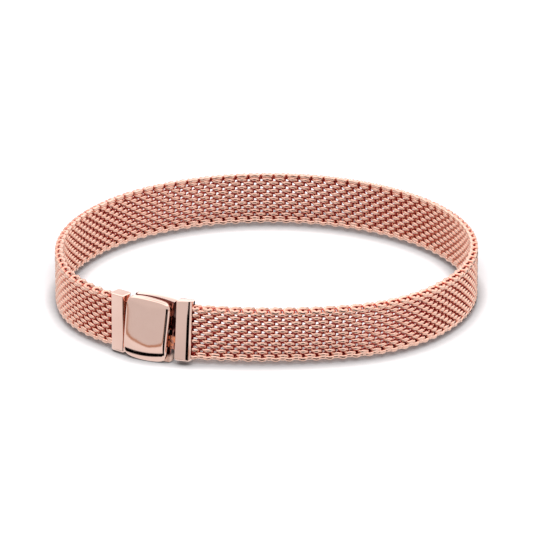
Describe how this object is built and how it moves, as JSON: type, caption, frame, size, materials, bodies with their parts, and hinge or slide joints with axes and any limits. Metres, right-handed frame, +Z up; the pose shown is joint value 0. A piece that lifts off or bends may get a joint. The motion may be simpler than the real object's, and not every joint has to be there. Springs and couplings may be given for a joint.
{
  "type": "mesh bracelet",
  "caption": "Rose gold mesh bracelet, closed into a loop by a hinged fold-over clasp between two end caps, standing on its edge.",
  "frame": {"origin": "middle of the bracelet in plan, at the level of its lowest edge", "axes": "+X to the right along the clasp as seen from the front, +Y back across the wrist from the clasp, +Z up across the width of the band"},
  "size_m": [0.0598, 0.0604, 0.0092],
  "materials": {
    "mesh_metal": "polished rose gold wire",
    "polished_metal": "mirror polished rose gold",
    "pin_metal": "drawn rose gold wire"
  },
  "bodies": {
    "bracelet": {"mesh_band": "mesh_metal", "end_cap_left": "polished_metal", "end_cap_right": "polished_metal", "clasp_base": "polished_metal", "hinge_pin": "pin_metal"},
    "lid": {"clasp_lid": "polished_metal"}
  },
  "joints": [
    {"name": "lid_hinge", "type": "hinge", "parent": "bracelet", "child": "lid", "pos_m": [-0.00733, -0.02895, 0.00472], "axis": [-0.0435, -0.0872, -0.9952], "range_deg": [0, 70]}
  ]
}
